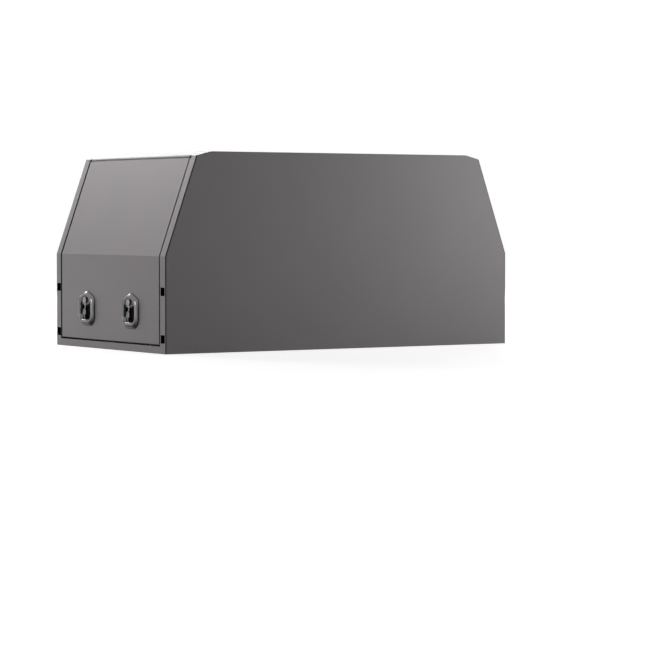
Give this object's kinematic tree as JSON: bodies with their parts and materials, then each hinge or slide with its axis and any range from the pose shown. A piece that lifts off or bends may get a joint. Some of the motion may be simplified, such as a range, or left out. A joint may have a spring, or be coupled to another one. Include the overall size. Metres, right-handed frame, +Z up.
{
  "type": "pickup truck canopy",
  "caption": "Folded sheet canopy for a pickup tray: plain end panels, kinked side doors hung on a roof-edge hinge, fold-out handle latches and leg sockets, hollow inside.",
  "frame": {"origin": "centre of the base, on the plane that rests on the tray", "axes": "+X to the vehicle's right, +Y to its front, +Z up"},
  "size_m": [1.813, 1, 0.855],
  "materials": {
    "powder_coat": "satin",
    "hinge_finish": "satin",
    "hinge_steel": "satin",
    "latch_metal": "polished",
    "latch_black": "matte",
    "seal_rubber": "matte"
  },
  "bodies": {
    "root": {"floor_panel": "powder_coat", "base_bearers": "powder_coat", "rear_base_rail": "powder_coat", "front_base_rail": "powder_coat", "rear_left_post": "powder_coat", "rear_right_post": "powder_coat", "front_left_post": "powder_coat", "front_right_post": "powder_coat", "left_leg_sockets": "powder_coat", "right_leg_sockets": "powder_coat", "rear_panel": "powder_coat", "front_panel": "powder_coat", "rear_panel_stiffeners": "powder_coat", "front_panel_stiffeners": "powder_coat", "roof_panel": "powder_coat", "roof_bows": "powder_coat", "right_latch_handles": "latch_metal", "left_sill": "powder_coat", "left_head_rail": "powder_coat", "left_door_seal": "seal_rubber", "left_hinge_roof_leaf": "hinge_finish", "right_sill": "powder_coat", "right_head_rail": "powder_coat", "right_door_seal": "seal_rubber", "right_hinge_roof_leaf": "hinge_finish", "right_hinge_door_leaf": "hinge_finish", "right_hinge_pin": "hinge_steel", "right_door_skin": "powder_coat", "right_door_inner_frame": "powder_coat", "right_door_ribs": "powder_coat", "right_latch_bezels": "latch_metal", "right_latch_cups": "latch_black", "right_latch_barrels": "latch_metal", "right_latch_cams": "latch_metal"},
    "left_door": {"left_hinge_door_leaf": "hinge_finish", "left_hinge_pin": "hinge_steel", "left_door_skin": "powder_coat", "left_door_inner_frame": "powder_coat", "left_door_ribs": "powder_coat", "left_latch_bezels": "latch_metal", "left_latch_cups": "latch_black", "left_latch_barrels": "latch_metal", "left_latch_cams": "latch_metal"},
    "left_rear_latch_handle": {"left_rear_latch_handle": "latch_metal"},
    "left_front_latch_handle": {"left_front_latch_handle": "latch_metal"}
  },
  "joints": [
    {"name": "left_door_hinge", "type": "hinge", "parent": "root", "child": "left_door", "pos_m": [-0.7342, 0, 0.83279], "axis": [0, 1, 0], "range_deg": [0, 85]},
    {"name": "left_rear_latch_handle_fold", "type": "hinge", "parent": "left_door", "child": "left_rear_latch_handle", "pos_m": [-0.8985, -0.2, 0.191], "axis": [0, 1, 0], "range_deg": [0, 75]},
    {"name": "left_front_latch_handle_fold", "type": "hinge", "parent": "left_door", "child": "left_front_latch_handle", "pos_m": [-0.8985, 0.2, 0.191], "axis": [0, 1, 0], "range_deg": [0, 75]}
  ]
}
